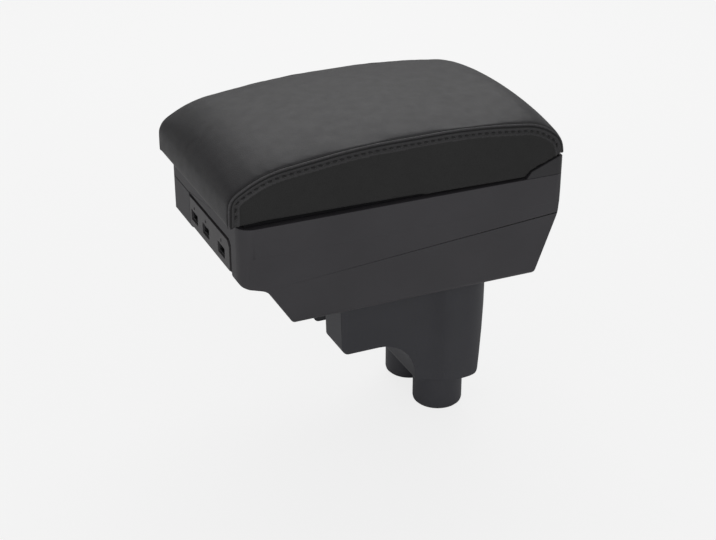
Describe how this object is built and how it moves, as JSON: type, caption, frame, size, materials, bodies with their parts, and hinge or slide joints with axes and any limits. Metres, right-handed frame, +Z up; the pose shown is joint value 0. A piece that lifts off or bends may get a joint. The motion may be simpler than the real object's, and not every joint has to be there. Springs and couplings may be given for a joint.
{
  "type": "car centre armrest",
  "caption": "Padded car armrest: a storage bin under a hinged lid, charging ports in its front face, on a slide-on base whose legs plug into cup holders.",
  "frame": {"origin": "centre of the bounding box at the height of the leg feet", "axes": "+X towards the rear of the car, +Y across it, +Z up; the lid's nose and the charging ports face -X"},
  "size_m": [0.3198, 0.192, 0.3201],
  "materials": {
    "base_plastic": "fine moulded grain, slightly blue charcoal",
    "latch_plastic": "fine moulded grain",
    "bin_plastic": "fine moulded grain, charcoal",
    "panel_plastic": "fine moulded grain",
    "screw_steel": "zinc plated",
    "socket_metal": "pressed tinned steel",
    "socket_insert": "moulded insulator",
    "lamp_plastic": "dark light guide",
    "board_laminate": "circuit board laminate",
    "lid_board": "pressed fibre board",
    "foam": "soft polyurethane foam",
    "leather_top": "fine grained synthetic leather, charcoal",
    "leather_side": "fine grained synthetic leather, near black"
  },
  "bodies": {
    "base": {"base_body": "base_plastic", "base_plate": "base_plastic", "base_screws": "screw_steel", "latch_cage": "base_plastic", "latch_spring": "screw_steel"},
    "latch": {"latch_button": "latch_plastic"},
    "box": {"box_body": "bin_plastic", "rail_left": "bin_plastic", "rail_right": "bin_plastic", "rail_screws": "screw_steel", "hinge_frame": "bin_plastic", "hinge_screws": "screw_steel", "hinge_pin_left": "screw_steel", "hinge_pin_right": "screw_steel", "usb_panel": "panel_plastic", "usb_shell_1": "socket_metal", "usb_shell_2": "socket_metal", "usb_shell_3": "socket_metal", "usb_tongue_1": "socket_insert", "usb_tongue_2": "socket_insert", "usb_tongue_3": "socket_insert", "usb_lamp_1": "lamp_plastic", "usb_lamp_2": "lamp_plastic", "usb_lamp_3": "lamp_plastic", "usb_board": "board_laminate", "usb_cover": "bin_plastic", "usb_cover_screws": "screw_steel"},
    "lid": {"lid_base": "bin_plastic", "lid_board": "lid_board", "lid_screws": "screw_steel", "lid_foam": "foam", "lid_top_cover": "leather_top", "lid_side_left": "leather_side", "lid_side_right": "leather_side"}
  },
  "joints": [
    {"name": "latch_press", "type": "slide", "parent": "base", "child": "latch", "axis": [0, 0, -1], "range_m": [0, 0.003], "stiffness_N_per_m": 300, "springref_m": -0.002, "deforming": ["latch_spring"]},
    {"name": "box_slide", "type": "slide", "parent": "base", "child": "box", "axis": [1, 0, 0], "range_m": [0, 0.12]},
    {"name": "lid_hinge", "type": "hinge", "parent": "box", "child": "lid", "pos_m": [0.155, 0, 0.26198], "axis": [0, 1, 0], "range_deg": [0, 90]}
  ]
}
